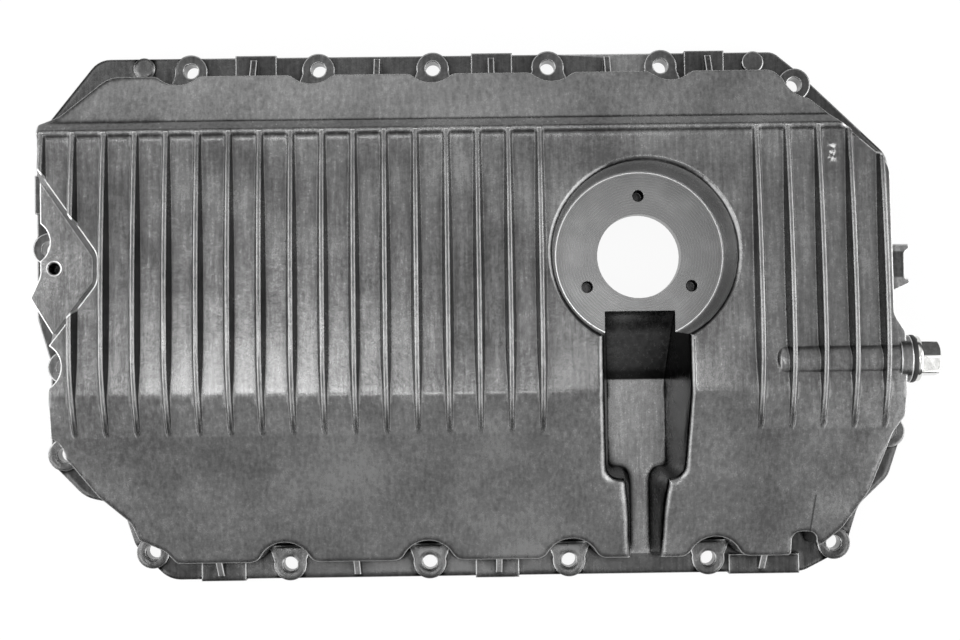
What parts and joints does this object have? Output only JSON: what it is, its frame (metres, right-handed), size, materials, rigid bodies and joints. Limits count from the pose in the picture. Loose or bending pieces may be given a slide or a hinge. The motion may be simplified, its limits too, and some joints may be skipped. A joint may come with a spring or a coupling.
{
  "type": "engine oil pan",
  "caption": "Shallow cast aluminium engine oil pan with cooling ribs, a recessed sensor seat with a cable channel, a bolted sealing flange and a threaded drain plug on its short side.",
  "frame": {"origin": "on the sealing face, under the middle of the overall box", "axes": "+Z away from the sealing face towards the outside of the sump, which is down on the car; +X along the engine towards the drain plug; +Y across it towards the high edge of the ribs"},
  "size_m": [0.4325, 0.2595, 0.072],
  "materials": {
    "cast_aluminium": "as cast, with a fine mottled skin and machined faces",
    "zinc_plated_steel": "zinc plated, satin",
    "seal_rubber": "moulded, dull black"
  },
  "bodies": {
    "pan": {"oil_pan_casting": "cast_aluminium"},
    "seal": {"drain_plug_seal": "seal_rubber"},
    "plug": {"drain_plug": "zinc_plated_steel"}
  },
  "joints": [
    {"name": "drain_plug_travel", "type": "slide", "parent": "pan", "child": "seal", "axis": [1, 0, 0], "range_m": [0, 0.012]},
    {"name": "drain_plug_turn", "type": "hinge", "parent": "seal", "child": "plug", "pos_m": [0.2025, -0.0243, 0.057], "axis": [1, 0, 0], "range_deg": [0, 2881]}
  ],
  "couplings": [
    {"joint": "drain_plug_turn", "follows": "drain_plug_travel", "rad_per_m": 4188.8}
  ]
}
